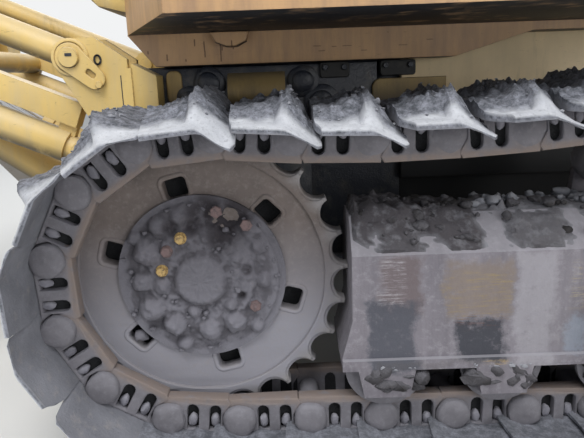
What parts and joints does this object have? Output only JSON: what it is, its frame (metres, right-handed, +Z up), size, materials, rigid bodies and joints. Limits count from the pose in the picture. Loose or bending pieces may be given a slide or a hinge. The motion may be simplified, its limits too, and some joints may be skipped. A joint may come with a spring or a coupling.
{
  "type": "bulldozer",
  "caption": "Crawler bulldozer with muddy tracks, toothed drive sprockets, a curved front blade and a raised rear ripper on pinned links.",
  "frame": {"origin": "on the ground under the middle of the bounding box", "axes": "+X forward, +Y to the machine's left, +Z up"},
  "size_m": [5.1792, 3.46, 2.9597],
  "materials": {
    "yellow_paint": "weathered, muddy",
    "muddy_steel": "worn under dried mud",
    "greasy_iron": "greasy and dark",
    "dark_metal": "dull",
    "glass": "clear",
    "black_plastic": "dull",
    "seat_vinyl": "worn vinyl",
    "lamp": "lens and housing",
    "cylinder_paint": "muddy",
    "chrome_rod": "polished",
    "hard_steel": "worn bright"
  },
  "bodies": {
    "tractor": {"cab_glass": "glass", "cab_roof": "yellow_paint", "cab_shell": "yellow_paint", "console": "black_plastic", "engine": "greasy_iron", "equalizer_bar": "muddy_steel", "exhaust_stack": "dark_metal", "fenders": "yellow_paint", "final_drives": "greasy_iron", "fuel_tank": "yellow_paint", "grille": "dark_metal", "handrails": "dark_metal", "hood": "yellow_paint", "idlers": "muddy_steel", "main_frame": "yellow_paint", "pre_cleaner": "dark_metal", "radiator": "dark_metal", "radiator_guard": "yellow_paint", "ripper_bracket": "yellow_paint", "rollers": "muddy_steel", "seat": "seat_vinyl", "sprockets": "muddy_steel", "steering_case": "greasy_iron", "track_frames": "yellow_paint", "track_left": "muddy_steel", "track_right": "muddy_steel", "work_lamps": "lamp"},
    "blade": {"blade": "yellow_paint", "cutting_edge": "hard_steel", "push_arms": "yellow_paint", "tilt_struts": "yellow_paint"},
    "ripper_arm": {"ripper_arm": "yellow_paint"},
    "upper_links": {"upper_links": "yellow_paint"},
    "ripper_beam": {"ripper_beam": "yellow_paint", "ripper_shanks": "hard_steel"},
    "door_right": {"door_right": "yellow_paint", "door_glass_right": "glass"},
    "lift_barrel_right": {"lift_barrel_right": "cylinder_paint"},
    "lift_rod_right": {"lift_rod_right": "chrome_rod"},
    "ripper_barrel_right": {"ripper_barrel_right": "cylinder_paint"},
    "ripper_rod_right": {"ripper_rod_right": "chrome_rod"},
    "door_left": {"door_left": "yellow_paint", "door_glass_left": "glass"},
    "lift_barrel_left": {"lift_barrel_left": "cylinder_paint"},
    "lift_rod_left": {"lift_rod_left": "chrome_rod"},
    "ripper_barrel_left": {"ripper_barrel_left": "cylinder_paint"},
    "ripper_rod_left": {"ripper_rod_left": "chrome_rod"}
  },
  "joints": [
    {"name": "blade_lift", "type": "hinge", "parent": "tractor", "child": "blade", "pos_m": [0.20788, 0, 0.42971], "axis": [0, -1, 0], "range_deg": [-7, 19]},
    {"name": "ripper_lift", "type": "hinge", "parent": "tractor", "child": "ripper_arm", "pos_m": [-1.44212, 0, 0.81471], "axis": [0, 1, 0], "range_deg": [-46, 2]},
    {"name": "door_right_swing", "type": "hinge", "parent": "tractor", "child": "door_right", "pos_m": [-0.42212, -0.57, 1.99971], "axis": [0, 0, -1], "range_deg": [0, 100]},
    {"name": "door_left_swing", "type": "hinge", "parent": "tractor", "child": "door_left", "pos_m": [-0.42212, 0.57, 1.99971], "axis": [0, 0, 1], "range_deg": [0, 100]},
    {"name": "lift_barrel_right_swing", "type": "hinge", "parent": "tractor", "child": "lift_barrel_right", "pos_m": [1.70788, -0.56, 1.54971], "axis": [0, -1, 0], "range_deg": [-4.78, 12.12]},
    {"name": "lift_rod_right_slide", "type": "slide", "parent": "lift_barrel_right", "child": "lift_rod_right", "axis": [0.357, 0, -0.9341], "range_m": [-0.6109, 0.2276]},
    {"name": "ripper_barrel_right_swing", "type": "hinge", "parent": "tractor", "child": "ripper_barrel_right", "pos_m": [-1.43212, -0.29, 0.54971], "axis": [0, 1, 0], "range_deg": [-39.99, 2.22]},
    {"name": "ripper_rod_right_slide", "type": "slide", "parent": "ripper_barrel_right", "child": "ripper_rod_right", "axis": [-0.8229, 0, 0.5682], "range_m": [-0.173, 0.0113]},
    {"name": "lift_barrel_left_swing", "type": "hinge", "parent": "tractor", "child": "lift_barrel_left", "pos_m": [1.70788, 0.56, 1.54971], "axis": [0, -1, 0], "range_deg": [-4.78, 12.12]},
    {"name": "lift_rod_left_slide", "type": "slide", "parent": "lift_barrel_left", "child": "lift_rod_left", "axis": [0.357, 0, -0.9341], "range_m": [-0.6109, 0.2276]},
    {"name": "ripper_barrel_left_swing", "type": "hinge", "parent": "tractor", "child": "ripper_barrel_left", "pos_m": [-1.43212, 0.29, 0.54971], "axis": [0, 1, 0], "range_deg": [-39.99, 2.22]},
    {"name": "ripper_rod_left_slide", "type": "slide", "parent": "ripper_barrel_left", "child": "ripper_rod_left", "axis": [-0.8229, 0, 0.5682], "range_m": [-0.173, 0.0113]},
    {"name": "upper_links_swing", "type": "hinge", "parent": "tractor", "child": "upper_links", "pos_m": [-1.47212, 0, 1.14571], "axis": [0, 1, 0], "range_deg": [-46.5, 2.5]},
    {"name": "ripper_beam_swing", "type": "hinge", "parent": "ripper_arm", "child": "ripper_beam", "pos_m": [-2.22455, 0, 1.14683], "axis": [0, 1, 0], "range_deg": [-2.5, 46.5]}
  ],
  "couplings": [
    {"joint": "lift_barrel_right_swing", "follows": "blade_lift", "ratio": 0.61181},
    {"joint": "lift_rod_right_slide", "follows": "blade_lift", "m_per_rad": -1.8301},
    {"joint": "ripper_barrel_right_swing", "follows": "ripper_lift", "ratio": 0.85839},
    {"joint": "ripper_rod_right_slide", "follows": "ripper_lift", "m_per_rad": 0.21052},
    {"joint": "lift_barrel_left_swing", "follows": "blade_lift", "ratio": 0.61181},
    {"joint": "lift_rod_left_slide", "follows": "blade_lift", "m_per_rad": -1.8301},
    {"joint": "ripper_barrel_left_swing", "follows": "ripper_lift", "ratio": 0.85839},
    {"joint": "ripper_rod_left_slide", "follows": "ripper_lift", "m_per_rad": 0.21052},
    {"joint": "upper_links_swing", "follows": "ripper_lift", "ratio": 1},
    {"joint": "ripper_beam_swing", "follows": "ripper_lift", "ratio": -1}
  ]
}
